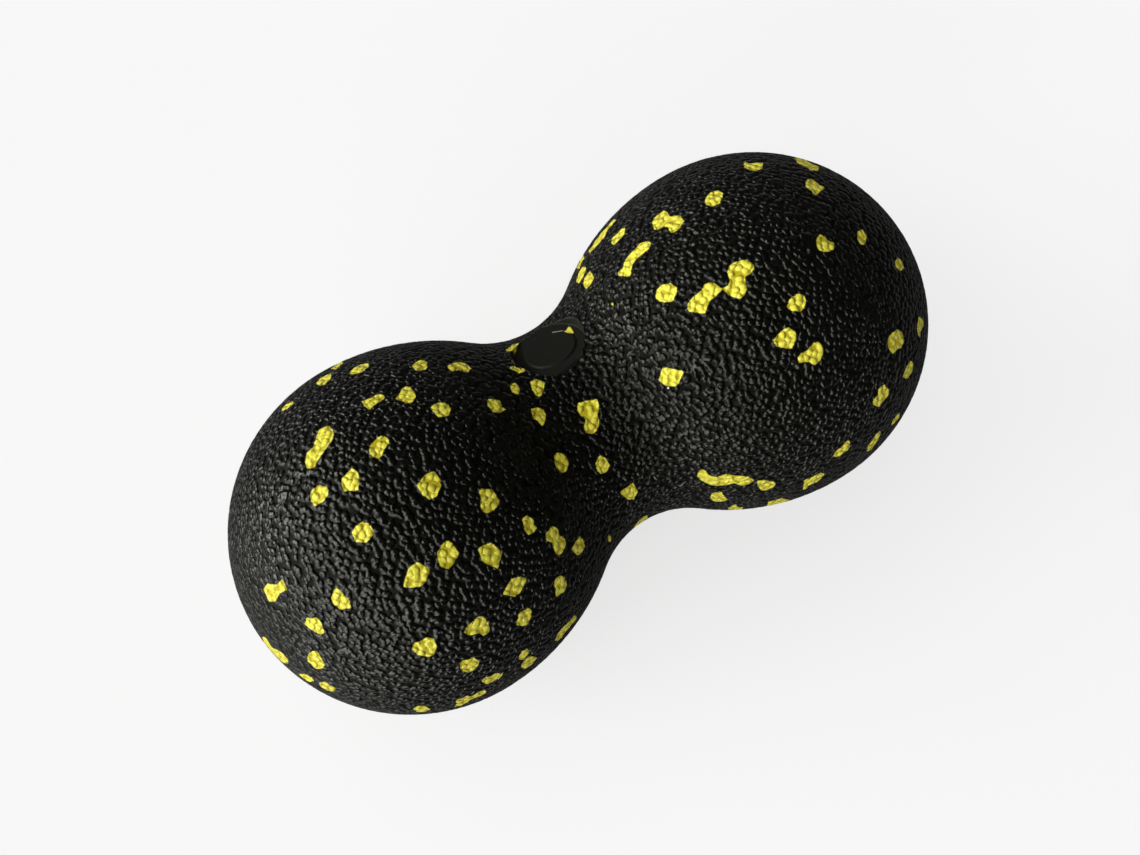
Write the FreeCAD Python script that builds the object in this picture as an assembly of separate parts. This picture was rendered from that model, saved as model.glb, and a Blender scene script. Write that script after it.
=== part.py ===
# Peanut massage ball: two balls joined by a concave waist, moulded in one piece of bead foam.
# Millimetres. The long axis is X, Z is up, and the origin is the centre of the waist.
# The ball lies on its side, as it does on a floor.

import FreeCAD, Part
import math
import os

# Driving sizes of the body
ball_diameter = 78.0
ball_spacing = 85.0
waist_diameter = 48.8
neck_radius = 20.5

# Driving sizes of the mark that the mould's filling nozzle leaves on the waist.
# The nozzle's flat rim lies below the top of the waist, and its piston stands out of the rim.
port_diameter = 15.6
port_drop = 0.75
port_turn = 37.0
port_rim = 2.1
piston_rise = 0.3
piston_edge = 0.2

# Sizes that follow from them
ball_radius = ball_diameter / 2
ball_offset = ball_spacing / 2
waist_radius = waist_diameter / 2
groove_depth = ball_radius - waist_radius
piston_diameter = port_diameter - 2 * port_rim

# The neck's arc is centred above the waist. The shoulder's arc is centred on the widest
# section of the ball. The shoulder's radius is the one that makes the two arcs tangent.
neck_centre_r = waist_radius + neck_radius
shoulder_radius = ball_offset ** 2 / (2 * groove_depth) + groove_depth / 2 - neck_radius
shoulder_centre_r = ball_radius - shoulder_radius


def profile_point(x, r):
    """A point of the half section, x along the body and r out from its axis."""
    return FreeCAD.Vector(x, 0, r)


def arc_edge(start, middle, end):
    """One arc of the half section through three points, each given as (x, r)."""
    arc = Part.Arc(profile_point(*start), profile_point(*middle), profile_point(*end))
    return arc.toShape()


def point_on_arc(centre, radius, angle):
    """The point (x, r) of an arc at an angle from straight out, turning away from the waist."""
    x = centre[0] + radius * math.sin(angle)
    r = centre[1] + radius * math.cos(angle)
    return (x, r)


def mirrored(point):
    """The same point of the section on the other side of the waist."""
    return (-point[0], point[1])


def body_section():
    """Half the section of the body: cap, shoulder, neck, shoulder, cap and the axis."""
    shoulder_centre = (ball_offset, shoulder_centre_r)
    ball_centre = (ball_offset, 0)

    # The shoulder leans back from the ball's widest section to where it meets the neck.
    shoulder_sweep = math.atan2(ball_offset, neck_centre_r - shoulder_centre_r)
    neck_end = point_on_arc(shoulder_centre, shoulder_radius, -shoulder_sweep)
    shoulder_middle = point_on_arc(shoulder_centre, shoulder_radius, -shoulder_sweep / 2)
    widest = (ball_offset, ball_radius)
    cap_middle = point_on_arc(ball_centre, ball_radius, math.pi / 4)
    tip = (ball_offset + ball_radius, 0)

    edges = [
        arc_edge(mirrored(tip), mirrored(cap_middle), mirrored(widest)),
        arc_edge(mirrored(widest), mirrored(shoulder_middle), mirrored(neck_end)),
        arc_edge(mirrored(neck_end), (0, waist_radius), neck_end),
        arc_edge(neck_end, shoulder_middle, widest),
        arc_edge(widest, cap_middle, tip),
        Part.makeLine(profile_point(*tip), profile_point(*mirrored(tip))),
    ]
    return Part.Face(Part.Wire(edges))


def moulded_body():
    """The two balls and their waist, turned about the long axis."""
    origin = FreeCAD.Vector(0, 0, 0)
    long_axis = FreeCAD.Vector(1, 0, 0)
    return body_section().revolve(origin, long_axis, 360)


def waist_bar(diameter, bottom, top):
    """A round bar across the waist, in the port's direction, between two heights from the axis."""
    turn = math.radians(port_turn)
    outward = FreeCAD.Vector(0, math.sin(turn), math.cos(turn))
    return Part.makeCylinder(diameter / 2, top - bottom, outward * bottom, outward)


def piston(rim_height):
    """The low round face inside the rim, with a small bevel round its outer edge."""
    face_height = rim_height + piston_rise
    bar = waist_bar(piston_diameter, 0, face_height)
    outer_edge = max(bar.Edges, key=lambda edge: edge.CenterOfMass.Length)
    return bar.makeChamfer(piston_edge, [outer_edge])


def with_port(body):
    """The flat end of the nozzle pressed into the saddle of the waist.

    The flat rim is sunk towards the two balls, where the saddle rises,
    and stands a little proud across them, where the saddle falls away.
    """
    rim_height = waist_radius - port_drop
    sunk = body.cut(waist_bar(port_diameter, rim_height, ball_radius))
    rim = waist_bar(port_diameter, 0, rim_height)
    return sunk.fuse([rim, piston(rim_height)])


def peanut_body():
    """The whole object as one solid."""
    return with_port(moulded_body()).removeSplitter()


os.makedirs("parts", exist_ok=True)
peanut_body().exportStep("parts/peanut_body.step")
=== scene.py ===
import math
import random

import bpy
import numpy as np
from mathutils import Matrix, Vector
from mathutils.geometry import delaunay_2d_cdt


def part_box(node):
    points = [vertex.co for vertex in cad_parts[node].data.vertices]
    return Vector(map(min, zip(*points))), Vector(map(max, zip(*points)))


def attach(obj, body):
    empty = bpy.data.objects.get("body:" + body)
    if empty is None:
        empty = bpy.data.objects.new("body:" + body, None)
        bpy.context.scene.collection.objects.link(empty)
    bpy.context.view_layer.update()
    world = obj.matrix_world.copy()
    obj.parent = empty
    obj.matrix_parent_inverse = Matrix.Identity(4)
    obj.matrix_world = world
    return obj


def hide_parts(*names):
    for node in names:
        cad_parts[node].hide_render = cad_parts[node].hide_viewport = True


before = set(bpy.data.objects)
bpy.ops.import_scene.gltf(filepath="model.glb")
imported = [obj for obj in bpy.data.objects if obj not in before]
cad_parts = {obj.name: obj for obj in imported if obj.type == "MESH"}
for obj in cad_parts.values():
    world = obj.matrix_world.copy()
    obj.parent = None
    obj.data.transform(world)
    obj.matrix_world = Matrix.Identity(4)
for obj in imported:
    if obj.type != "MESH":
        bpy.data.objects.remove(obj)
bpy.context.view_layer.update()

MM = 0.001

# Sizes of the body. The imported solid's box gives the balls and the distance between them.
BODY_LOW, BODY_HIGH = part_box("peanut_body")
BALL_RADIUS = BODY_HIGH[2]
BALL_OFFSET = BODY_HIGH[0] - BALL_RADIUS
WAIST_RADIUS = 24.4 * MM
NECK_RADIUS = 20.5 * MM

# Sizes of the round mark that the mould's filling nozzle leaves on the waist
PORT_RADIUS = 7.8 * MM
PORT_TURN = math.radians(37.0)
RIM_HEIGHT = WAIST_RADIUS - 0.75 * MM
PISTON_RADIUS = 5.7 * MM
PISTON_RISE = 0.3 * MM
PISTON_EDGE = 0.2 * MM
WALL_HALF_WIDTH = 0.14 * MM

# The three arcs of half the section: the neck, the shoulder and the cap
NECK_CENTRE_R = WAIST_RADIUS + NECK_RADIUS
GROOVE_DEPTH = BALL_RADIUS - WAIST_RADIUS
SHOULDER_RADIUS = BALL_OFFSET ** 2 / (2 * GROOVE_DEPTH) + GROOVE_DEPTH / 2 - NECK_RADIUS
SHOULDER_CENTRE_R = BALL_RADIUS - SHOULDER_RADIUS
NECK_SWEEP = math.atan2(BALL_OFFSET, NECK_CENTRE_R - SHOULDER_CENTRE_R)
NECK_END_X = NECK_RADIUS * math.sin(NECK_SWEEP)
NECK_LENGTH = NECK_RADIUS * NECK_SWEEP
SHOULDER_LENGTH = SHOULDER_RADIUS * NECK_SWEEP
CAP_LENGTH = BALL_RADIUS * math.pi / 2

# How fine the mesh is, and the ring round the mark where the two meshes meet
MESH_SPACING = 0.672 * MM
ROW_SPACING = MESH_SPACING * math.sqrt(3) / 2
FEWEST_POINTS = 6
HOLE_RADIUS = PORT_RADIUS + 1.15 * MM
PATCH_RADIUS = PORT_RADIUS + 0.5 * MM

# Where the mark's rings lie: on its wall, as shares of the wall's half width, then on the rim and
# on the piston's face. Rings wider than the dense radius have as many points as the mark's edge.
WALL_SHARES = (1.6, 1.0, 0.6, 0.3, 0.0, -0.3, -0.6, -1.0)
RIM_OUTER = PORT_RADIUS - 2 * WALL_HALF_WIDTH
RIM_INNER = PISTON_RADIUS + 0.1 * MM
RIM_RING_COUNT = 4
FACE_OUTER = PISTON_RADIUS - 0.5 * MM
FACE_INNER = 0.4 * MM
DENSE_RADIUS = PISTON_RADIUS - 1.0 * MM
SMALLEST_RADIUS = 0.8 * MM

# The pebbled skin: the size of one lump, how deep its valleys look and how deep they are in the
# mesh, how regular the lumps are, and the square of the distance from a lump's middle, in
# pitches, at which its valley is lowest
PEBBLE_PITCH = 1.35 * MM
PEBBLE_DEPTH = 0.65 * MM
RELIEF_DEPTH = 0.10 * MM
PEBBLE_RANDOMNESS = 0.8
PEBBLE_SMOOTHNESS = 0.35
PEBBLE_VALLEY = 0.40

# What makes the lumps uneven: a drift of their places, and ground that rises and falls
DRIFT_SIZE = 2.2 * MM
DRIFT_REACH = 0.9 * MM
GROUND_SIZE = 1.3 * MM
GROUND_SHARE = 0.2

# Where the pebbles start and where they are whole, in millimetres outside the mark's edge
GRAIN_START = 0.1
GRAIN_END = 0.6

# The lumps are laid out on flat charts of the skin. Near the borders of the first charts the
# skin takes its lumps from the second, so that no border shows. Each chart has a place of its
# own in the pattern, a shift away from the next, in columns of this many rows.
CHART_GAP = 24.0 * MM
CHART_SEEDS = {"chart_a": 3, "chart_b": 8}
CHART_SHIFT = 0.1
CHART_ROWS = 8
BORDER_START = 0.8 * MM
BORDER_END = 2.4 * MM

# The foam's colours: black beads, the mark, yellow beads with painted shade in their valleys, a
# painted highlight on the edge of the nick, and the dust. Then the size of one bead, and of the
# clouds in the yellow.
BLACK_DARK = (0.0006, 0.0006, 0.0004, 1)
BLACK_LIGHT = (0.0020, 0.0020, 0.0016, 1)
MARK_BLACK = (0.0055, 0.0055, 0.0047, 1)
YELLOW_DEEP = (0.83, 0.75, 0.05, 1)
YELLOW_PALE = (0.90, 0.83, 0.08, 1)
# Painted shade: the yellow in the valleys between the lumps
YELLOW_VALLEY_SHADE = (0.50, 0.41, 0.01, 1)
# A painted highlight: the shining edge of the nick
NICK_PAINTED_HIGHLIGHT = (0.20, 0.20, 0.17, 1)
DUST_COLOUR = (0.75, 0.75, 0.70, 1)
BEAD_SIZE = 4.3 * MM
YELLOW_CLOUD_SIZE = 6 * MM

# The ragged edge of a fleck: the size of its waves. Then, in millimetres, how far they reach to
# each side and how soft the edge is.
RAGGED_SIZE = 0.9 * MM
RAGGED_REACH = 0.25
FLECK_BLUR = 0.10

# The foam's gloss: on the lumps it varies between two roughnesses, in the valleys and in the
# mark it is duller. In the valleys its reflection is also tinted dark, as painted shade.
SHEEN_WEIGHT = 0.075
SHEEN_ROUGHNESS = 0.2
ROUGH_CLOUD_SIZE = 3 * MM
LUMP_ROUGHNESS = (0.30, 0.36)
VALLEY_ROUGHNESS = 0.8
MARK_ROUGHNESS = 0.6
# Painted shade: the tint that darkens the gloss in the valleys
VALLEY_SHADE_TINT = (0.30, 0.30, 0.25, 1)
LUMP_TINT = (1.0, 1.0, 0.85, 1)

# Between which heights a valley's look gives way to a lump's: its yellow with painted shade, its
# roughness, and its tint darkened as painted shade
YELLOW_SHADE_RISE = (0.0, 0.4)
ROUGH_RISE = (0.05, 0.35)
SHADE_TINT_RISE = (0.0, 0.45)

# The floor's colour, its size, and how much of its look is plain white, with the rest from the
# lamps' light on it
FLOOR_DARK = (0.93, 0.93, 0.93, 1)
FLOOR_LIGHT = (0.95, 0.95, 0.95, 1)
FLOOR_CLOUD_SIZE = 0.5
FLOOR_HALF = 3.0
FLOOR_GLOW = 0.7

# The photograph's camera, in the frame of the part
PHOTO_WIDTH = 1140
PHOTO_HEIGHT = 855
PHOTO_HALF_VIEW = math.radians(30.0)
PHOTO_FOCAL = PHOTO_WIDTH / 2 / math.tan(PHOTO_HALF_VIEW)
CAMERA_PLACE = Vector((-27.8, -38.8, 213.2)) * MM
CAMERA_FORWARD = Vector((0.1138, 0.1852, -0.9761)).normalized()
CAMERA_RIGHT = Vector((0.8520, -0.5233, 0.0)).normalized()
CAMERA_UP = CAMERA_RIGHT.cross(CAMERA_FORWARD)

# Two lamps on the left of the view, one of them low, and a soft one near the camera that gives no
# gloss. Each has its direction in shares of the camera's right, up and forward, its spread in
# degrees, its level, and whether it gives gloss. The world adds a dim fill.
LAMPS = {
    "key": (-0.98, 0.0, -0.20, 50, 0.90, True),
    "low": (-0.48, -0.83, -0.27, 60, 0.80, True),
    "soft": (-0.42, 0.22, -0.82, 80, 0.52, False),
}
WORLD_FILL = 0.045
WHITE = (1, 1, 1, 1)

# The range that noise seldom leaves, and its middle as a vector
NOISE_RANGE = (0.3, 0.7)
NOISE_MIDDLE = (0.5, 0.5, 0.5)

# Between which distances, and in how many steps, a pixel's ray is followed from the camera
RAY_START = 0.12
RAY_END = 0.32
RAY_STEP_COUNT = 4001

# What counts as zero in a division and as no distance, and a distance that is far away
TINY = 1e-12
TOLERANCE = 1e-9
FAR_AWAY = 1.0

# Corners of the yellow flecks, as pixels read off the photograph
RIGHT_BALL_FLECKS = [
    [(614, 219), (616, 220), (612, 225), (607, 230), (605, 236), (599, 243), (594, 248), (590, 253),
     (588, 251), (592, 246), (598, 237), (603, 231), (607, 227), (611, 222)],
    [(625, 228), (625, 233), (620, 239), (614, 245), (611, 243), (612, 238), (618, 233), (621, 228)],
    [(646, 241), (651, 243), (649, 249), (642, 254), (636, 259), (633, 264), (631, 270), (631, 276),
     (618, 276), (618, 272), (623, 268), (624, 262), (628, 256), (634, 250), (639, 244)],
    [(665, 210), (667, 212), (670, 217), (680, 215), (684, 221), (678, 230), (671, 233), (668, 227),
     (664, 226), (660, 229), (655, 230), (652, 225), (654, 218), (660, 213)],
    [(716, 190), (723, 193), (720, 203), (712, 207), (704, 203), (706, 197), (710, 193)],
    [(583, 266), (586, 268), (583, 277), (579, 283), (576, 282), (578, 275), (580, 270)],
    [(590, 271), (594, 277), (591, 284), (586, 289), (583, 285), (585, 277)],
    [(583, 255), (585, 259), (581, 262), (579, 259)],
    [(581, 263), (579, 269), (576, 268), (578, 264)],
    [(744, 161), (748, 163), (754, 163), (763, 162), (762, 168), (756, 171), (750, 170), (744, 167)],
    [(670, 283), (678, 288), (676, 294), (672, 302), (660, 302), (655, 297), (657, 290), (661, 285)],
    [(687, 311), (688, 304), (693, 297), (701, 291), (704, 285), (710, 282), (716, 284), (721, 288),
     (726, 287), (730, 284), (729, 278), (727, 272), (731, 264), (738, 261), (746, 260), (753, 264),
     (755, 268), (750, 274), (744, 277), (746, 285), (747, 290), (742, 298), (735, 298), (729, 295),
     (724, 290), (720, 291), (715, 297), (709, 302), (707, 308), (705, 313), (697, 313)],
    [(610, 303), (613, 302), (615, 304), (611, 306)],
    [(663, 367), (684, 371), (680, 380), (677, 386), (665, 386), (659, 380), (661, 372)],
    [(794, 158), (799, 155), (805, 159), (810, 163), (819, 166), (818, 171), (811, 170), (804, 166),
     (798, 163)],
    [(806, 181), (810, 178), (815, 181), (820, 185), (826, 187), (820, 192), (814, 196), (812, 191),
     (806, 187)],
    [(816, 240), (820, 234), (826, 238), (829, 241), (834, 243), (834, 249), (828, 252), (820, 251),
     (817, 247)],
    [(857, 232), (862, 229), (867, 236), (865, 244), (861, 245), (858, 240)],
    [(895, 262), (898, 257), (903, 262), (904, 268), (901, 271), (896, 267)],
    [(787, 307), (790, 299), (799, 293), (805, 296), (806, 304), (801, 312), (790, 310)],
    [(773, 341), (779, 333), (787, 327), (794, 330), (797, 337), (792, 349), (783, 348), (776, 346)],
    [(797, 358), (801, 354), (807, 351), (813, 344), (818, 341), (822, 346), (824, 353), (820, 360),
     (815, 365), (808, 362), (799, 363)],
    [(888, 338), (892, 333), (898, 329), (903, 333), (904, 343), (901, 348), (897, 349), (893, 355),
     (888, 347)],
    [(919, 316), (923, 320), (924, 326), (920, 333), (921, 338), (918, 335), (917, 327)],
    [(911, 361), (914, 364), (912, 372), (908, 379), (903, 377), (906, 368)],
    [(884, 385), (889, 390), (888, 396), (883, 402), (879, 407), (873, 405), (873, 400), (878, 395),
     (879, 388)],
    [(899, 413), (900, 416), (894, 424), (891, 426), (893, 420)],
    [(881, 431), (881, 435), (876, 443), (872, 449), (867, 452), (868, 446), (873, 440), (877, 433)],
    [(848, 440), (850, 442), (849, 449), (844, 453), (838, 457), (833, 457), (837, 450), (842, 447),
     (845, 443)],
    [(820, 473), (825, 474), (821, 479), (815, 483), (808, 486), (806, 490), (803, 490), (804, 485),
     (804, 480), (811, 478)],
    [(698, 472), (702, 469), (706, 471), (709, 476), (718, 477), (726, 474), (734, 476), (744, 476),
     (751, 478), (754, 481), (748, 485), (742, 486), (734, 483), (727, 485), (717, 486), (709, 485),
     (701, 480), (697, 476)],
    [(757, 481), (763, 480), (773, 482), (776, 484), (771, 489), (762, 491), (758, 487)],
    [(712, 493), (721, 492), (725, 497), (728, 500), (723, 502), (714, 502), (710, 498)],
    [(728, 508), (735, 504), (739, 508), (743, 507), (741, 511), (735, 512), (729, 510)],
    [(760, 508), (767, 506), (768, 502), (776, 500), (782, 498), (790, 500), (780, 505), (770, 509),
     (762, 511)],
]
WAIST_FLECKS = [
    [(578, 403), (585, 401), (592, 400), (597, 399), (599, 404), (598, 412), (597, 416), (600, 421),
     (598, 428), (594, 434), (586, 433), (584, 427), (586, 419), (580, 415), (577, 410)],
    [(556, 453), (562, 453), (567, 458), (569, 465), (566, 472), (562, 473), (556, 467), (554, 458)],
    [(600, 455), (606, 459), (610, 466), (607, 471), (601, 475), (597, 470), (595, 464), (598, 458)],
    [(632, 482), (636, 488), (638, 492), (634, 499), (629, 500), (620, 493), (622, 490), (627, 488)],
    [(647, 515), (648, 518), (642, 524), (636, 529), (634, 527), (640, 520)],
    [(609, 533), (611, 537), (611, 542), (609, 543), (608, 538)],
    [(506, 349), (512, 345), (518, 342), (519, 345), (516, 351), (507, 351)],
    [(509, 368), (513, 365), (519, 369), (524, 368), (525, 372), (519, 373), (514, 370)],
    [(513, 382), (517, 384), (520, 390), (519, 395), (512, 392), (510, 387)],
    [(530, 382), (535, 379), (540, 380), (545, 382), (544, 388), (541, 396), (537, 397), (533, 391)],
    [(531, 409), (538, 407), (544, 410), (546, 418), (543, 427), (539, 422), (533, 418)],
    [(580, 536), (584, 541), (585, 547), (581, 553), (577, 556), (574, 552), (571, 550), (575, 543)],
]
LEFT_BALL_FLECKS = [
    [(420, 360), (427, 361), (427, 369), (420, 370), (416, 371), (412, 366), (415, 362)],
    [(447, 366), (453, 363), (461, 362), (467, 364), (471, 368), (468, 372), (462, 370), (451, 371)],
    [(402, 388), (409, 386), (413, 390), (416, 396), (413, 402), (407, 403), (399, 400), (395, 399),
     (399, 394)],
    [(430, 408), (436, 403), (443, 402), (449, 405), (451, 410), (448, 416), (438, 417), (434, 412)],
    [(487, 399), (494, 399), (500, 401), (502, 407), (506, 409), (500, 413), (493, 412), (488, 406)],
    [(341, 361), (343, 363), (336, 369), (331, 369), (335, 365)],
    [(331, 373), (331, 378), (326, 383), (322, 386), (316, 384), (318, 380), (324, 376)],
    [(368, 363), (369, 366), (363, 371), (356, 374), (349, 374), (351, 370), (358, 365)],
    [(362, 401), (371, 398), (379, 393), (385, 396), (383, 400), (375, 404), (369, 410), (364, 406)],
    [(292, 401), (294, 403), (288, 408), (283, 411), (281, 409), (285, 405)],
    [(329, 426), (334, 432), (333, 439), (328, 446), (322, 454), (317, 461), (314, 468), (306, 468),
     (305, 461), (307, 452), (313, 448), (316, 438), (318, 430), (323, 427)],
    [(382, 435), (388, 438), (389, 443), (384, 450), (380, 458), (375, 458), (369, 453), (370, 445),
     (375, 440)],
    [(352, 468), (358, 472), (359, 480), (358, 491), (343, 491), (342, 485), (341, 479), (346, 474)],
    [(319, 485), (328, 487), (328, 495), (323, 502), (314, 506), (311, 500), (310, 494), (314, 488)],
    [(363, 521), (370, 525), (374, 531), (371, 538), (366, 543), (356, 542), (352, 534), (354, 528)],
    [(268, 584), (277, 585), (282, 579), (285, 585), (287, 590), (280, 593), (275, 602), (268, 601),
     (266, 595), (263, 589)],
    [(335, 587), (342, 592), (345, 597), (349, 598), (351, 609), (346, 608), (340, 610), (333, 603),
     (331, 599)],
    [(307, 618), (316, 618), (321, 622), (324, 633), (320, 635), (314, 632), (308, 627), (304, 624)],
    [(308, 654), (313, 651), (317, 652), (321, 658), (325, 666), (321, 669), (315, 669), (311, 664),
     (307, 661)],
    [(262, 637), (265, 637), (269, 643), (272, 648), (278, 650), (283, 654), (288, 660), (288, 664),
     (282, 662), (275, 655), (269, 649), (264, 642)],
    [(298, 674), (305, 674), (311, 677), (314, 681), (309, 682), (303, 678)],
    [(319, 683), (326, 682), (330, 686), (336, 688), (333, 692), (326, 690), (321, 687)],
    [(429, 472), (435, 472), (440, 479), (441, 486), (437, 496), (430, 500), (423, 495), (417, 486),
     (422, 478)],
    [(479, 489), (492, 489), (500, 501), (495, 509), (486, 514), (480, 508), (481, 498)],
    [(447, 540), (453, 544), (459, 554), (453, 565), (448, 569), (440, 567), (437, 553), (441, 546)],
    [(417, 562), (424, 566), (430, 569), (427, 578), (423, 585), (413, 588), (403, 587), (405, 579),
     (409, 567)],
    [(477, 549), (484, 545), (491, 543), (497, 548), (502, 552), (500, 561), (498, 569), (492, 566),
     (483, 562), (480, 555)],
    [(522, 519), (527, 515), (533, 519), (534, 524), (537, 528), (533, 533), (528, 535), (525, 530)],
    [(552, 526), (558, 529), (560, 536), (565, 539), (566, 545), (562, 553), (558, 556), (554, 549),
     (553, 543), (547, 541), (545, 535)],
    [(503, 594), (507, 586), (512, 578), (520, 577), (527, 578), (524, 586), (520, 593), (514, 597),
     (508, 595)],
    [(561, 576), (564, 577), (567, 583), (565, 591), (559, 595), (556, 598), (556, 591), (554, 584),
     (556, 578)],
    [(529, 608), (532, 610), (530, 619), (528, 625), (523, 626), (515, 625), (518, 619), (519, 613)],
    [(480, 616), (486, 619), (490, 628), (489, 633), (484, 635), (477, 633), (470, 636), (464, 632),
     (467, 626), (474, 621)],
    [(427, 637), (434, 639), (437, 646), (434, 655), (427, 657), (418, 655), (412, 649), (414, 643),
     (421, 641)],
    [(473, 657), (478, 660), (479, 664), (475, 669), (469, 673), (462, 671), (460, 666), (461, 661),
     (468, 660)],
    [(482, 681), (485, 677), (491, 677), (496, 673), (503, 674), (501, 678), (494, 681), (488, 684),
     (483, 683)],
    [(455, 701), (462, 698), (467, 696), (472, 697), (478, 692), (487, 690), (485, 694), (478, 697),
     (472, 699), (466, 703), (457, 707), (454, 707), (457, 703)],
    [(413, 709), (418, 706), (424, 706), (430, 709), (426, 712), (417, 712)],
    [(575, 615), (577, 618), (571, 626), (566, 631), (562, 637), (558, 641), (555, 641), (558, 634),
     (562, 628), (569, 622)],
    [(526, 649), (530, 651), (527, 655), (523, 660), (519, 660), (519, 656), (522, 652)],
    [(531, 656), (537, 658), (534, 662), (529, 667), (524, 669), (521, 667), (523, 662), (527, 658)],
    [(526, 677), (529, 677), (520, 683), (515, 685), (517, 681)],
]

# The one fleck that lies on the mark's rim
RIM_FLECK = [(569, 325), (574, 333), (571, 334), (565, 333)]

# A short nick in the mark's rim, whose shining edge is a painted highlight: its two ends in the
# photo, its width and blur
NICK_ENDS = ((552.5, 333.5), (564, 331.5))
NICK_WIDTH = 0.34 * MM
NICK_BLUR = 0.10 * MM

# A white speck of dust on the right ball: its place in the photo, and where it fades out
DUST_PIXEL = (668, 388)
DUST_RADIUS = 0.18 * MM
DUST_INNER = 0.8 * DUST_RADIUS
DUST_OUTER = 1.6 * DUST_RADIUS

# Flecks on the sides that the photograph doesn't show, drawn from the sizes of those that it
# does. A place is hidden where the cosine between the skin's normal and the line to the camera
# is below the turn.
HIDDEN_FLECK_COUNT = 112
HIDDEN_TURN = -0.15
HIDDEN_FLECK_GAP = 6.0 * MM
FLECK_SEED = 11

# The first bead of a hidden fleck: its radius in millimetres, and how uneven its corners are
BEAD_RADII = (1.6, 2.6)
BEAD_CORNERS = (5, 8)
BEAD_STRETCH = (0.85, 1.25)
CORNER_TURN = (-0.25, 0.25)
CORNER_REACH = (0.82, 1.12)

# The chain that may follow it: how many beads, how far it bends at each in radians, and its
# steps and the size of its beads as shares of the first bead's radius
CHAIN_COUNTS = (0, 0, 0, 1, 1, 2)
CHAIN_BEND = (-0.6, 0.6)
CHAIN_STEP = 1.45
CHAIN_SIZE = 0.85

# The field that holds the flecks stops at this distance from a fleck's edge, in millimetres. A
# fleck changes it within this many times its own reach, and where the skin's normal has at
# least this cosine to the fleck's.
FLECK_REACH = 2.0
FIELD_ROOM = 1.15
FIELD_FACING = 0.2


def section_point(distance):
    """The point (x, r) of the section at a distance along it from the waist, negative on the left."""
    along = abs(distance)
    if along < NECK_LENGTH:
        turn = along / NECK_RADIUS
        x = NECK_RADIUS * math.sin(turn)
        r = NECK_CENTRE_R - NECK_RADIUS * math.cos(turn)
    elif along < NECK_LENGTH + SHOULDER_LENGTH:
        turn = (along - NECK_LENGTH) / SHOULDER_RADIUS - NECK_SWEEP
        x = BALL_OFFSET + SHOULDER_RADIUS * math.sin(turn)
        r = SHOULDER_CENTRE_R + SHOULDER_RADIUS * math.cos(turn)
    else:
        turn = (along - NECK_LENGTH - SHOULDER_LENGTH) / BALL_RADIUS
        x = BALL_OFFSET + BALL_RADIUS * math.sin(turn)
        r = BALL_RADIUS * math.cos(turn)
    return math.copysign(x, distance), r


def skin_radius(x):
    """The body's radius at places along its axis."""
    along = np.abs(x)
    from_ball = along - BALL_OFFSET
    neck = NECK_CENTRE_R - np.sqrt(np.maximum(NECK_RADIUS ** 2 - along ** 2, 0))
    shoulder = SHOULDER_CENTRE_R + np.sqrt(np.maximum(SHOULDER_RADIUS ** 2 - from_ball ** 2, 0))
    cap = np.sqrt(np.maximum(BALL_RADIUS ** 2 - from_ball ** 2, 0))
    return np.where(along < NECK_END_X, neck, np.where(along < BALL_OFFSET, shoulder, cap))


# The mark's own axes: along the body, across it, and outward
PORT_ALONG = np.array((1.0, 0.0, 0.0))
PORT_OUTWARD = np.array((0.0, math.sin(PORT_TURN), math.cos(PORT_TURN)))
PORT_ACROSS = np.cross(PORT_OUTWARD, PORT_ALONG)


def smooth_step(start, end, value):
    """0 up to the start, 1 from the end, and an S curve between."""
    share = np.clip((value - start) / (end - start), 0, 1)
    return share * share * (3 - 2 * share)


def port_point(reach, angle):
    """A point of the mark, or of the skin round it, at a distance and an angle from its centre."""
    along = reach * math.cos(angle)
    across = reach * math.sin(angle)
    skin = math.sqrt(float(skin_radius(along)) ** 2 - across ** 2)
    rim = RIM_HEIGHT + PISTON_RISE * smooth_step(PISTON_RADIUS, PISTON_RADIUS - PISTON_EDGE, reach)
    outside = smooth_step(PORT_RADIUS - WALL_HALF_WIDTH, PORT_RADIUS + WALL_HALF_WIDTH, reach)
    height = rim + (skin - rim) * outside
    return along * PORT_ALONG + across * PORT_ACROSS + height * PORT_OUTWARD


class Skin:
    """A triangle mesh that grows ring by ring."""

    def __init__(self):
        self.points = []
        self.faces = []

    def add_ring(self, points):
        """Adds the points and gives their numbers."""
        first = len(self.points)
        self.points.extend(points)
        return list(range(first, len(self.points)))

    def join(self, ring, other, offset, other_offset):
        """Fills the band between two rings of points that are even in angle."""
        i = 0
        j = 0
        while i < len(ring) or j < len(other):
            here = (i + 1 + offset) / len(ring)
            there = (j + 1 + other_offset) / len(other)
            a = ring[i % len(ring)]
            b = other[j % len(other)]
            if j >= len(other) or (i < len(ring) and here < there):
                i += 1
                self.faces.append((a, b, ring[i % len(ring)]))
            else:
                j += 1
                self.faces.append((a, b, other[j % len(other)]))

    def close(self, ring, point, outward):
        """Fills a ring with a fan round one point."""
        centre = self.add_ring([point])[0]
        for a, b in zip(ring, ring[1:] + ring[:1]):
            self.faces.append((a, b, centre) if outward else (b, a, centre))


def even_count(radius):
    """How many points of a ring of this radius keep the mesh even."""
    return max(FEWEST_POINTS, round(2 * math.pi * radius / MESH_SPACING))


def half_step(number):
    """How far a ring is turned, in steps between its points: every other one by half a step."""
    return 0.5 * (number % 2)


def ring_angles(count, offset):
    """Even angles round a ring, turned by a share of one step."""
    return [2 * math.pi * (k + offset) / count for k in range(count)]


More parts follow.
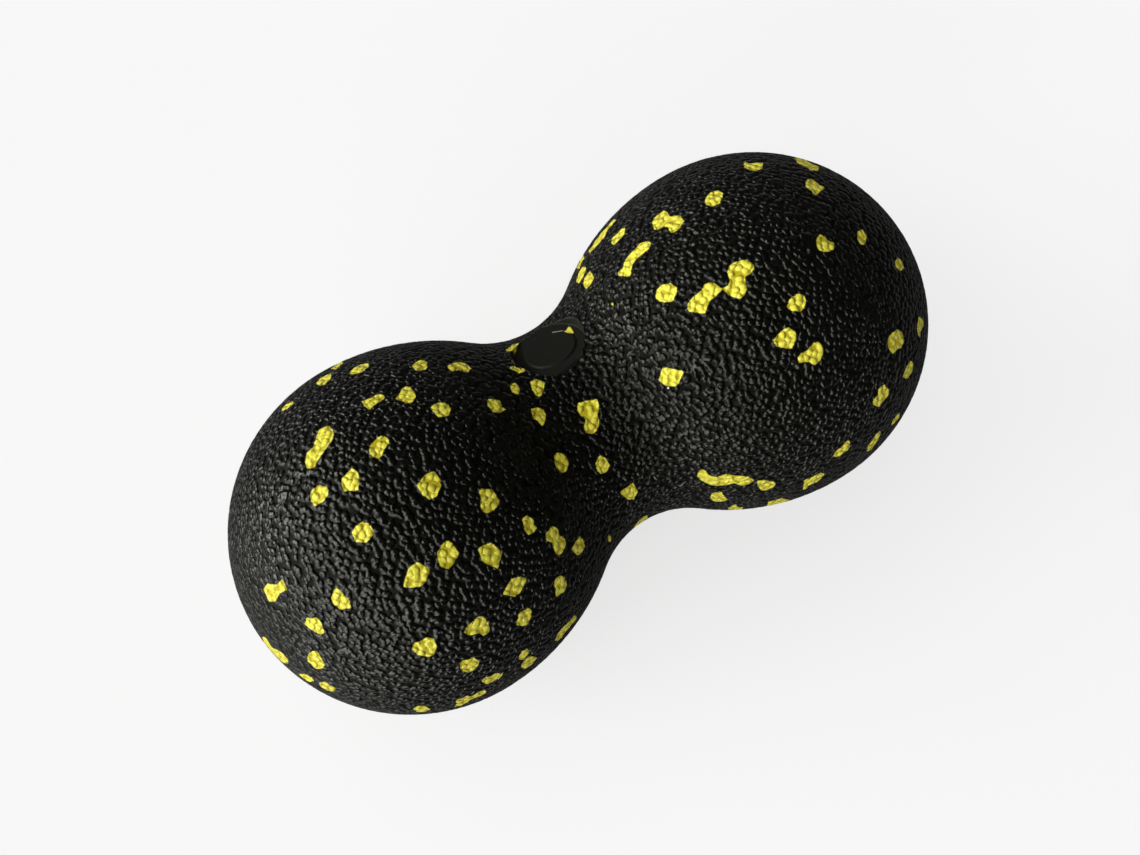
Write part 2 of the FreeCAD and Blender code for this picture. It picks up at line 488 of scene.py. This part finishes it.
def add_body(skin):
    """The two balls and the waist as rings round the long axis, from the left pole to the right."""
    half_length = NECK_LENGTH + SHOULDER_LENGTH + CAP_LENGTH
    step_count = round(2 * half_length / ROW_SPACING)
    step = 2 * half_length / step_count
    last = None
    for number in range(1, step_count):
        x, r = section_point(number * step - half_length)
        offset = half_step(number)
        angles = ring_angles(even_count(r), offset)
        ring = skin.add_ring([(x, r * math.cos(angle), r * math.sin(angle)) for angle in angles])
        if last is None:
            skin.close(ring, (-BALL_OFFSET - BALL_RADIUS, 0, 0), False)
        else:
            skin.join(ring, last[0], offset, last[1])
        last = (ring, offset)
    skin.close(last[0], (BALL_OFFSET + BALL_RADIUS, 0, 0), True)


def port_reaches():
    """The distances of the mark's rings from its centre, from outside in."""
    wall = [PORT_RADIUS + WALL_HALF_WIDTH * share for share in WALL_SHARES]
    rim = list(np.linspace(RIM_OUTER, RIM_INNER, RIM_RING_COUNT))
    bevel = [PISTON_RADIUS, PISTON_RADIUS - PISTON_EDGE / 2, PISTON_RADIUS - PISTON_EDGE]
    face = list(np.arange(FACE_OUTER, FACE_INNER, -MESH_SPACING))
    return [PATCH_RADIUS] + wall + rim + bevel + face


def add_port(skin):
    """The mark as rings round its centre. Gives the outermost ring."""
    last = None
    for number, reach in enumerate(port_reaches()):
        count = even_count(PORT_RADIUS if reach > DENSE_RADIUS else max(reach, SMALLEST_RADIUS))
        offset = half_step(number)
        angles = ring_angles(count, offset)
        ring = skin.add_ring([tuple(port_point(reach, angle)) for angle in angles])
        if last is None:
            outermost = ring
        else:
            skin.join(ring, last[0], offset, last[1])
        last = (ring, offset)
    skin.close(last[0], tuple(port_point(0, 0)), True)
    return outermost


def on_plane(offset, axes):
    """Offsets in space as flat offsets along two axes."""
    return np.stack((offset @ axes[0], offset @ axes[1]), axis=1)


def port_reach(points):
    """How far points lie from the mark's axis. Points on the other side of the body are far away."""
    reach = np.linalg.norm(on_plane(points, (PORT_ALONG, PORT_ACROSS)), axis=1)
    return np.where(points @ PORT_OUTWARD > 0, reach, FAR_AWAY)


def open_hole(skin):
    """Takes the faces out where the mark goes, and gives the loop of points round the hole."""
    points = np.array(skin.points)
    inside = port_reach(points) < HOLE_RADIUS
    faces = np.array(skin.faces)
    kept = faces[~inside[faces].any(axis=1)]
    skin.faces = [tuple(face) for face in kept.tolist()]
    directed = set()
    for a, b, c in skin.faces:
        directed.update(((a, b), (b, c), (c, a)))
    following = {b: a for a, b in directed if (b, a) not in directed}
    start = next(iter(following))
    loop = [start]
    while following[loop[-1]] != start:
        loop.append(following[loop[-1]])
    return loop


def bridge(skin, hole, ring):
    """Fills the band between the hole's uneven edge and the mark's outermost ring."""
    numbers = hole + ring
    flat = []
    for number in numbers:
        point = skin.points[number]
        flat.append(Vector((np.dot(point, PORT_ALONG), np.dot(point, PORT_ACROSS))))
    edges = [(k, (k + 1) % len(hole)) for k in range(len(hole))]
    edges += [(len(hole) + k, len(hole) + (k + 1) % len(ring)) for k in range(len(ring))]
    inside_constraints = 1
    triangles = delaunay_2d_cdt(flat, edges, [], inside_constraints, TOLERANCE)[2]
    # Triangles between points of the ring alone would cover the mark, so they are left out.
    for triangle in triangles:
        if min(triangle) < len(hole):
            skin.faces.append(tuple(numbers[k] for k in triangle))


def photo_ray(pixel):
    """The direction in which the photograph's camera sees a pixel."""
    right = (pixel[0] - PHOTO_WIDTH / 2) / PHOTO_FOCAL
    down = (pixel[1] - PHOTO_HEIGHT / 2) / PHOTO_FOCAL
    return np.array(CAMERA_FORWARD + right * CAMERA_RIGHT - down * CAMERA_UP)


def seen_point(pixel):
    """Where a pixel's ray meets the body, or passes nearest to it."""
    ray = photo_ray(pixel)
    start = np.array(CAMERA_PLACE)
    reaches = np.linspace(RAY_START, RAY_END, RAY_STEP_COUNT)
    points = start + reaches[:, None] * ray
    clearance = np.linalg.norm(points[:, 1:], axis=1) - skin_radius(points[:, 0])
    outside_ends = np.abs(points[:, 0]) > BALL_OFFSET + BALL_RADIUS
    clearance[outside_ends] += BALL_RADIUS
    met = np.nonzero(clearance < 0)[0]
    return points[met[0] if len(met) else int(np.argmin(clearance))]


def rim_point(pixel):
    """Where a pixel's ray meets the plane of the mark's rim."""
    ray = photo_ray(pixel)
    start = np.array(CAMERA_PLACE)
    return start + ray * (RIM_HEIGHT - start @ PORT_OUTWARD) / (ray @ PORT_OUTWARD)


def plane_axes(normal):
    """Two axes at right angles to a normal."""
    first = Vector(normal).orthogonal().normalized()
    second = Vector(normal).cross(first).normalized()
    return np.array(first), np.array(second)


def skin_normal(point):
    """The body's outward direction at a point of its skin."""
    nudge = 0.01 * MM
    slope = (skin_radius(point[0] + nudge) - skin_radius(point[0] - nudge)) / (2 * nudge)
    around = np.array((0.0, point[1], point[2])) / max(math.hypot(point[1], point[2]), nudge)
    normal = around - np.array((slope, 0.0, 0.0))
    return normal / np.linalg.norm(normal)


def depth_inside(points, corners):
    """How far flat points lie inside a polygon, negative outside it."""
    nearest = np.full(len(points), np.inf)
    inside = np.zeros(len(points), bool)
    for start, end in zip(corners, np.roll(corners, -1, axis=0)):
        edge = end - start
        offset = points - start
        share = np.clip(offset @ edge / max(edge @ edge, TINY), 0, 1)
        nearest = np.minimum(nearest, np.linalg.norm(offset - share[:, None] * edge, axis=1))
        spans = (start[1] > points[:, 1]) != (end[1] > points[:, 1])
        rise = edge[1] if abs(edge[1]) > TINY else TINY
        crossing = start[0] + (points[:, 1] - start[1]) * edge[0] / rise
        inside ^= spans & (points[:, 0] < crossing)
    return np.where(inside, nearest, -nearest)


class FleckField:
    """For every point of the skin, how far it lies inside the nearest fleck, in millimetres."""

    def __init__(self, points, normals):
        self.points = points
        self.normals = normals
        self.depth = np.full(len(points), -FLECK_REACH)
        self.centres = []

    def add(self, centre, normal, axes, corners):
        """Adds one fleck, given by its corners on the plane that touches the skin at its centre."""
        reach = np.linalg.norm(corners, axis=1).max() + FLECK_REACH * MM
        near = np.linalg.norm(self.points - centre, axis=1) < FIELD_ROOM * reach
        near &= self.normals @ normal > FIELD_FACING
        numbers = np.nonzero(near)[0]
        flat = on_plane(self.points[numbers] - centre, axes)
        depth = depth_inside(flat, corners) / MM
        self.depth[numbers] = np.maximum(self.depth[numbers], depth)
        self.centres.append(centre)

    def add_seen(self, pixels, meets=seen_point):
        """Adds a fleck whose corners were read from the photograph."""
        points = np.array([meets(pixel) for pixel in pixels])
        centre = points.mean(axis=0)
        normal = skin_normal(centre)
        axes = plane_axes(normal)
        self.add(centre, normal, axes, on_plane(points - centre, axes))

    def add_bead(self, centre, normal, axes, size, draw):
        """Adds one bead with an uneven round of corners."""
        corner_count = draw.randint(*BEAD_CORNERS)
        turn = draw.uniform(0, 2 * math.pi)
        stretch = draw.uniform(*BEAD_STRETCH)
        corners = []
        for k in range(corner_count):
            angle = 2 * math.pi * (k + draw.uniform(*CORNER_TURN)) / corner_count
            reach = size * draw.uniform(*CORNER_REACH)
            x = reach * math.cos(angle) * stretch
            y = reach * math.sin(angle) / stretch
            across = x * math.cos(turn) - y * math.sin(turn)
            along = x * math.sin(turn) + y * math.cos(turn)
            corners.append((across, along))
        self.add(centre, normal, axes, np.array(corners))

    def add_hidden(self):
        """Adds the flecks of the sides that the photograph doesn't show."""
        draw = random.Random(FLECK_SEED)
        placed = 0
        while placed < HIDDEN_FLECK_COUNT:
            number = draw.randrange(len(self.points))
            centre = self.points[number]
            normal = self.normals[number]
            towards_camera = np.array(CAMERA_PLACE) - centre
            if normal @ towards_camera > HIDDEN_TURN * np.linalg.norm(towards_camera):
                continue
            gaps = np.linalg.norm(np.array(self.centres) - centre, axis=1)
            if gaps.min() < HIDDEN_FLECK_GAP:
                continue
            placed += 1
            axes = plane_axes(normal)
            size = draw.uniform(*BEAD_RADII) * MM
            self.add_bead(centre, normal, axes, size, draw)
            heading = draw.uniform(0, 2 * math.pi)
            for _ in range(draw.choice(CHAIN_COUNTS)):
                heading += draw.uniform(*CHAIN_BEND)
                stride = CHAIN_STEP * size
                centre = centre + stride * (math.cos(heading) * axes[0] + math.sin(heading) * axes[1])
                nearest = int(np.argmin(np.linalg.norm(self.points - centre, axis=1)))
                centre = self.points[nearest]
                normal = self.normals[nearest]
                axes = plane_axes(normal)
                self.add_bead(centre, normal, axes, CHAIN_SIZE * size, draw)


def new_node(tree, kind, **settings):
    """A node with its settings made."""
    made = tree.nodes.new(kind)
    for name, value in settings.items():
        setattr(made, name, value)
    return made


def feed(tree, socket, value):
    """Links a socket to another, or sets its value."""
    if isinstance(value, bpy.types.NodeSocket):
        tree.links.new(value, socket)
    else:
        socket.default_value = value


def maths(tree, operation, *values, kind="ShaderNodeMath", output=0):
    """One step of arithmetic."""
    made = new_node(tree, kind, operation=operation)
    for socket, value in zip(made.inputs, values):
        feed(tree, socket, value)
    return made.outputs[output]


def vector_maths(tree, operation, *values, output=0):
    """One step of arithmetic on vectors."""
    return maths(tree, operation, *values, kind="ShaderNodeVectorMath", output=output)


def scaled(tree, vector, factor):
    """A vector times a number."""
    made = new_node(tree, "ShaderNodeVectorMath", operation="SCALE")
    feed(tree, made.inputs[0], vector)
    feed(tree, made.inputs["Scale"], factor)
    return made.outputs[0]


def remapped(tree, value, from_low, from_high, to_low=0.0, to_high=1.0, curve="SMOOTHSTEP"):
    """A value moved from one range to another, and held there."""
    made = new_node(tree, "ShaderNodeMapRange", interpolation_type=curve)
    for socket, given in zip(made.inputs, (value, from_low, from_high, to_low, to_high)):
        feed(tree, socket, given)
    return made.outputs[0]


def noise(tree, position, size, detail=2.0, output=0):
    """Noise whose blobs are about one size across."""
    made = new_node(tree, "ShaderNodeTexNoise", noise_dimensions="3D")
    feed(tree, made.inputs["Vector"], position)
    made.inputs["Scale"].default_value = 1 / size
    made.inputs["Detail"].default_value = detail
    return made.outputs[output]


def shifted(tree, position, size, reach):
    """A position moved about by noise of one size, so that what lies on it is uneven."""
    drift = vector_maths(tree, "SUBTRACT", noise(tree, position, size, output=1), NOISE_MIDDLE)
    return vector_maths(tree, "ADD", position, scaled(tree, drift, reach))


def mixed(tree, share, first, second):
    """The first value where the share is 0, the second where it is 1, and a mix between."""
    made = new_node(tree, "ShaderNodeMix", data_type="FLOAT")
    feed(tree, made.inputs[0], share)
    feed(tree, made.inputs[2], first)
    feed(tree, made.inputs[3], second)
    return made.outputs[0]


def lump_height(tree, place):
    """The height of the lumps at a place on a chart: 0 in the valleys, 1 on the lumps."""
    cells = new_node(tree, "ShaderNodeTexVoronoi", voronoi_dimensions="2D", feature="SMOOTH_F1")
    feed(tree, cells.inputs["Vector"], shifted(tree, place, DRIFT_SIZE, DRIFT_REACH))
    cells.inputs["Scale"].default_value = 1 / PEBBLE_PITCH
    cells.inputs["Randomness"].default_value = PEBBLE_RANDOMNESS
    cells.inputs["Smoothness"].default_value = PEBBLE_SMOOTHNESS
    distance = cells.outputs["Distance"]
    return remapped(tree, maths(tree, "MULTIPLY", distance, distance), PEBBLE_VALLEY, 0.0)


def pebble_height(tree, position, charts, shares):
    """The height of the pebbled skin: lumps on uneven ground, which fills in where borders meet."""
    ground = remapped(tree, noise(tree, position, GROUND_SIZE, 0.0), *NOISE_RANGE, curve="LINEAR")
    lumps = ground
    for chart, share in reversed(list(zip(charts, shares))):
        lumps = mixed(tree, share, lumps, lump_height(tree, chart))
    return mixed(tree, GROUND_SHARE, lumps, ground)


def stored_value(tree, name, kind):
    """A value that the mesh holds for each of its points, in geometry nodes."""
    made = new_node(tree, "GeometryNodeInputNamedAttribute", data_type=kind)
    made.inputs["Name"].default_value = name
    return made.outputs["Attribute"]


def relief_group():
    """Geometry nodes that sink the valleys between the lumps along the smooth skin's normals."""
    tree = bpy.data.node_groups.new("pebble_relief", "GeometryNodeTree")
    tree.interface.new_socket("Geometry", in_out="INPUT", socket_type="NodeSocketGeometry")
    tree.interface.new_socket("Geometry", in_out="OUTPUT", socket_type="NodeSocketGeometry")
    entry = new_node(tree, "NodeGroupInput")
    leave = new_node(tree, "NodeGroupOutput")
    position = new_node(tree, "GeometryNodeInputPosition").outputs[0]
    charts = [stored_value(tree, name, "FLOAT_VECTOR") for name in CHART_SEEDS]
    shares = [stored_value(tree, name + "_share", "FLOAT") for name in CHART_SEEDS]
    height = pebble_height(tree, position, charts, shares)
    depth = maths(tree, "SUBTRACT", height, 1.0)
    depth = maths(tree, "MULTIPLY", depth, stored_value(tree, "grain", "FLOAT"))
    depth = maths(tree, "MULTIPLY", depth, RELIEF_DEPTH)
    normal = stored_value(tree, "smooth_normal", "FLOAT_VECTOR")
    move = new_node(tree, "GeometryNodeSetPosition")
    feed(tree, move.inputs["Geometry"], entry.outputs[0])
    feed(tree, move.inputs["Offset"], scaled(tree, normal, depth))
    feed(tree, leave.inputs[0], move.outputs[0])
    return tree


def attribute_values(mesh, name, kind, values, domain="POINT"):
    """Stores one value for each point, or for each corner of a face, of a mesh."""
    made = mesh.attributes.new(name, kind, domain)
    field = "vector" if kind == "FLOAT_VECTOR" else "value"
    made.data.foreach_set(field, np.asarray(values, dtype=np.float32).ravel())


def chart_centres(points, seed):
    """Points of the skin that lie evenly apart, one for each chart."""
    draw = random.Random(seed)
    free = np.ones(len(points), bool)
    centres = []
    while free.any():
        centre = draw.choice(np.nonzero(free)[0].tolist())
        centres.append(centre)
        free &= np.linalg.norm(points - points[centre], axis=1) > CHART_GAP
    return centres


def lay_charts(mesh, points, normals, faces, name):
    """Gives each face its place on a flat chart, and each point a share that is 0 at the borders."""
    centres = chart_centres(points, CHART_SEEDS[name])
    distance = np.stack([np.linalg.norm(points - points[k], axis=1) for k in centres], axis=1)
    distance += CHART_GAP * (1 - normals @ normals[centres].T)
    corners = np.array(faces)
    chart = distance[corners].sum(axis=1).argmin(axis=1)
    axes = np.array([plane_axes(normals[k]) for k in centres])
    offset = points[corners] - points[centres][chart][:, None]
    flat = np.einsum("fcj,fij->fci", offset, axes[chart])
    length = np.linalg.norm(flat, axis=2, keepdims=True)
    flat *= np.linalg.norm(offset, axis=2, keepdims=True) / np.maximum(length, TOLERANCE)
    column, row = np.divmod(chart, CHART_ROWS)
    flat += CHART_SHIFT * np.stack((column, row), axis=1)[:, None]
    places = np.concatenate((flat, np.zeros_like(length)), axis=2)
    attribute_values(mesh, name, "FLOAT_VECTOR", places, "CORNER")
    nearest = np.sort(distance, axis=1)[:, :2]
    margin = (nearest[:, 1] - nearest[:, 0]) / 2
    attribute_values(mesh, name + "_share", "FLOAT", smooth_step(BORDER_START, BORDER_END, margin))


def new_object(name, data):
    """An object of the scene that shows the data."""
    made = bpy.data.objects.new(name, data)
    bpy.context.scene.collection.objects.link(made)
    return made


def smooth_skin():
    """The body's smooth skin as one closed mesh. Gives the mesh, its points, normals and faces."""
    skin = Skin()
    add_body(skin)
    hole = open_hole(skin)
    ring = add_port(skin)
    bridge(skin, hole, ring)

    # Points that the hole left without faces are dropped.
    used = sorted({number for face in skin.faces for number in face})
    renumbered = {number: k for k, number in enumerate(used)}
    points = np.array([skin.points[number] for number in used])
    faces = [tuple(renumbered[number] for number in face) for face in skin.faces]
    mesh = bpy.data.meshes.new("smooth_peanut")
    mesh.from_pydata(points.tolist(), [], faces)
    mesh.update()
    normals = np.zeros(len(points) * 3, dtype=np.float32)
    mesh.vertex_normals.foreach_get("vector", normals)
    return mesh, points, normals.reshape(-1, 3), faces


def fleck_depths(points, normals, past_edge):
    """How far each point lies inside a fleck. The mark has none but the one on its rim."""
    flecks = FleckField(points, normals)
    for pixels in RIGHT_BALL_FLECKS + WAIST_FLECKS + LEFT_BALL_FLECKS:
        flecks.add_seen(pixels)
    flecks.add_hidden()
    flecks.depth = np.minimum(flecks.depth, np.maximum(past_edge, -FLECK_REACH))
    flecks.add_seen(RIM_FLECK, rim_point)
    return flecks.depth


def pebbled(mesh, normals):
    """The mesh with its relief, shaded as the smooth skin."""
    draft = new_object("draft", mesh)
    relief = draft.modifiers.new("relief", "NODES")
    relief.node_group = relief_group()
    evaluated = draft.evaluated_get(bpy.context.evaluated_depsgraph_get())
    made = bpy.data.meshes.new_from_object(evaluated)
    made.name = "bead_foam_body"
    bpy.data.objects.remove(draft)
    made.shade_smooth()
    made.normals_split_custom_set_from_vertices(normals.tolist())
    return made


def make_peanut():
    """The whole body as one piece, with its flecks and pebbles."""
    mesh, points, normals, faces = smooth_skin()
    past_edge = (port_reach(points) - PORT_RADIUS) / MM
    attribute_values(mesh, "fleck", "FLOAT", fleck_depths(points, normals, past_edge))
    attribute_values(mesh, "grain", "FLOAT", smooth_step(GRAIN_START, GRAIN_END, past_edge))
    attribute_values(mesh, "smooth_normal", "FLOAT_VECTOR", normals)
    for name in CHART_SEEDS:
        lay_charts(mesh, points, normals, faces, name)
    return new_object("bead_foam_body", pebbled(mesh, normals))


def colour_mix(tree, factor, first, second):
    """Two colours mixed by a factor."""
    made = new_node(tree, "ShaderNodeMix", data_type="RGBA")
    feed(tree, made.inputs[0], factor)
    feed(tree, made.inputs[6], first)
    feed(tree, made.inputs[7], second)
    return made.outputs[2]


def mesh_value(tree, name, output="Fac"):
    """A value that the mesh holds for each of its points, in a material."""
    return new_node(tree, "ShaderNodeAttribute", attribute_name=name).outputs[output]


def nick_highlight_mask(tree, position):
    """1 on the painted highlight along the nick's edge in the mark's rim, and 0 elsewhere."""
    start, end = [rim_point(pixel) for pixel in NICK_ENDS]
    length = np.linalg.norm(end - start)
    along = (end - start) / length
    across = np.cross(PORT_OUTWARD, along)
    offset = vector_maths(tree, "SUBTRACT", position, (start + end) / 2)
    distance = vector_maths(tree, "LENGTH", offset, output="Value")
    mask = maths(tree, "LESS_THAN", distance, length)
    for axis, half in ((across, NICK_WIDTH / 2), (along, length / 2)):
        part = vector_maths(tree, "DOT_PRODUCT", offset, axis, output="Value")
        reach = maths(tree, "ABSOLUTE", part)
        inside = remapped(tree, reach, half + NICK_BLUR, half - NICK_BLUR)
        mask = maths(tree, "MULTIPLY", mask, inside)
    return mask


def dust_mask(tree, position):
    """1 on the speck of dust, and 0 elsewhere."""
    distance = vector_maths(tree, "DISTANCE", position, seen_point(DUST_PIXEL), output="Value")
    return remapped(tree, distance, DUST_OUTER, DUST_INNER)


def black_foam(tree, position, grain):
    """The foam's black. Its beads differ a little, the mark is lighter, and a painted highlight lies
    on the edge of the nick in it.
    """
    beads = new_node(tree, "ShaderNodeTexVoronoi", voronoi_dimensions="3D", feature="F1")
    feed(tree, beads.inputs["Vector"], position)
    beads.inputs["Scale"].default_value = 1 / BEAD_SIZE
    bead_tone = new_node(tree, "ShaderNodeSeparateColor")
    feed(tree, bead_tone.inputs[0], beads.outputs["Color"])
    black = colour_mix(tree, bead_tone.outputs[0], BLACK_DARK, BLACK_LIGHT)
    black = colour_mix(tree, grain, MARK_BLACK, black)
    # The nick's shining edge is a painted highlight.
    return colour_mix(tree, nick_highlight_mask(tree, position), black, NICK_PAINTED_HIGHLIGHT)


def yellow_foam(tree, position, height):
    """The yellow of the flecks, with painted shade that darkens it in the valleys between the lumps.
    """
    yellow = colour_mix(tree, noise(tree, position, YELLOW_CLOUD_SIZE), YELLOW_DEEP, YELLOW_PALE)
    # Painted shade: the yellow darkens in the valleys between the lumps.
    return colour_mix(tree, remapped(tree, height, *YELLOW_SHADE_RISE), YELLOW_VALLEY_SHADE, yellow)


def fleck_mask(tree, position):
    """1 in the flecks and 0 between them, with a ragged edge."""
    wander = noise(tree, position, RAGGED_SIZE)
    ragged = maths(tree, "MULTIPLY_ADD", wander, 2 * RAGGED_REACH, -RAGGED_REACH)
    edge = maths(tree, "ADD", mesh_value(tree, "fleck"), ragged)
    return remapped(tree, edge, -FLECK_BLUR, FLECK_BLUR)


def new_material(name):
    """A material with nodes. Gives the material, its node tree and its main shader."""
    material = bpy.data.materials.new(name)
    material.use_nodes = True
    tree = material.node_tree
    return material, tree, tree.nodes["Principled BSDF"]


def bead_foam():
    """Black bead foam with yellow beads and a fine pebbled skin, smooth inside the filling mark."""
    material, tree, shader = new_material("bead_foam")
    shader.inputs["Sheen Weight"].default_value = SHEEN_WEIGHT
    shader.inputs["Sheen Roughness"].default_value = SHEEN_ROUGHNESS
    position = new_node(tree, "ShaderNodeTexCoord").outputs["Object"]
    grain = mesh_value(tree, "grain")
    charts = [mesh_value(tree, name, "Vector") for name in CHART_SEEDS]
    shares = [mesh_value(tree, name + "_share") for name in CHART_SEEDS]
    height = pebble_height(tree, position, charts, shares)
    sunk = maths(tree, "MULTIPLY", grain, maths(tree, "SUBTRACT", 1.0, height))
    height = maths(tree, "SUBTRACT", 1.0, sunk)

    black = black_foam(tree, position, grain)
    yellow = yellow_foam(tree, position, height)
    colour = colour_mix(tree, fleck_mask(tree, position), black, yellow)
    colour = colour_mix(tree, dust_mask(tree, position), colour, DUST_COLOUR)
    feed(tree, shader.inputs["Base Color"], colour)

    # The valleys are rough and dull, and the smooth mark is duller than the lumps.
    rough_cloud = noise(tree, position, ROUGH_CLOUD_SIZE)
    rough = remapped(tree, rough_cloud, *NOISE_RANGE, *LUMP_ROUGHNESS)
    rough = remapped(tree, height, *ROUGH_RISE, VALLEY_ROUGHNESS, rough)
    rough = remapped(tree, grain, 0.0, 1.0, MARK_ROUGHNESS, rough)
    feed(tree, shader.inputs["Roughness"], rough)
    # Painted shade: the gloss's tint is darkened in the valleys between the lumps.
    tint = colour_mix(tree, remapped(tree, height, *SHADE_TINT_RISE), VALLEY_SHADE_TINT, LUMP_TINT)
    feed(tree, shader.inputs["Specular Tint"], tint)
    bump = new_node(tree, "ShaderNodeBump")
    feed(tree, bump.inputs["Height"], height)
    bump.inputs["Strength"].default_value = 1.0
    bump.inputs["Distance"].default_value = PEBBLE_DEPTH
    feed(tree, shader.inputs["Normal"], bump.outputs["Normal"])
    return material


def floor_material():
    """A plain pale floor, near white to the eye, that still shows the body's shadow."""
    material, tree, shader = new_material("pale_floor")
    position = new_node(tree, "ShaderNodeTexCoord").outputs["Object"]
    colour = colour_mix(tree, noise(tree, position, FLOOR_CLOUD_SIZE), FLOOR_DARK, FLOOR_LIGHT)
    feed(tree, shader.inputs["Base Color"], colour)
    shader.inputs["Roughness"].default_value = 1.0
    shader.inputs["Specular IOR Level"].default_value = 0.0
    glow = new_node(tree, "ShaderNodeEmission")
    glow.inputs["Strength"].default_value = 1.0
    path = new_node(tree, "ShaderNodeLightPath")
    share = maths(tree, "MULTIPLY", path.outputs["Is Camera Ray"], FLOOR_GLOW)
    blend = new_node(tree, "ShaderNodeMixShader")
    feed(tree, blend.inputs[0], share)
    feed(tree, blend.inputs[1], shader.outputs[0])
    feed(tree, blend.inputs[2], glow.outputs[0])
    feed(tree, tree.nodes["Material Output"].inputs["Surface"], blend.outputs[0])
    return material


def make_floor():
    """The floor that the body lies on. It is kept out of the foam's gloss, as black flags would."""
    level = BODY_LOW[2]
    signs = ((-1, -1), (1, -1), (1, 1), (-1, 1))
    mesh = bpy.data.meshes.new("floor")
    mesh.from_pydata([(x * FLOOR_HALF, y * FLOOR_HALF, level) for x, y in signs], [], [(0, 1, 2, 3)])
    mesh.materials.append(floor_material())
    floor = new_object("floor", mesh)
    floor.visible_glossy = False


def aimed(towards_light, up=Vector((0, 0, 1))):
    """A turn that points a lamp's light away from a direction."""
    back = towards_light.normalized()
    side = up.cross(back).normalized()
    return Matrix((side, back.cross(side), back)).transposed().to_4x4()


def add_lamp(name, towards, spread, level):
    """A soft lamp far off. A white face turned to it renders at its level."""
    light = bpy.data.lights.new(name, "SUN")
    light.angle = math.radians(spread)
    light.energy = level * math.pi
    lamp = new_object(name, light)
    lamp.matrix_world = aimed(towards)
    return lamp


def make_lights():
    """The lamps, and a world that is white to the camera and a dim fill to the body."""
    for name, (right, up, forward, spread, level, gives_gloss) in LAMPS.items():
        towards = right * CAMERA_RIGHT + up * CAMERA_UP + forward * CAMERA_FORWARD
        lamp = add_lamp(name, towards, spread, level)
        lamp.visible_glossy = gives_gloss

    world = bpy.data.worlds.new("studio")
    bpy.context.scene.world = world
    world.use_nodes = True
    tree = world.node_tree
    background = tree.nodes["Background"]
    path = new_node(tree, "ShaderNodeLightPath")
    strength = remapped(tree, path.outputs["Is Camera Ray"], 0.0, 1.0, WORLD_FILL, 1.0, "LINEAR")
    background.inputs["Color"].default_value = WHITE
    feed(tree, background.inputs["Strength"], strength)


def make_camera():
    """The photograph's camera."""
    lens = bpy.data.cameras.new("photo_camera")
    lens.sensor_fit = "HORIZONTAL"
    lens.angle = 2 * math.atan(PHOTO_WIDTH / 2 / PHOTO_FOCAL)
    lens.clip_start = 10 * MM
    camera = new_object("photo_camera", lens)
    turn = Matrix((CAMERA_RIGHT, CAMERA_UP, -CAMERA_FORWARD)).transposed().to_4x4()
    camera.matrix_world = Matrix.Translation(CAMERA_PLACE) @ turn
    bpy.context.scene.camera = camera


make_camera()
body = make_peanut()
body.data.materials.clear()
body.data.materials.append(bead_foam())
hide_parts("peanut_body")
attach(body, "root")
make_floor()
make_lights()

settings = bpy.context.scene.view_settings
settings.view_transform = "Standard"

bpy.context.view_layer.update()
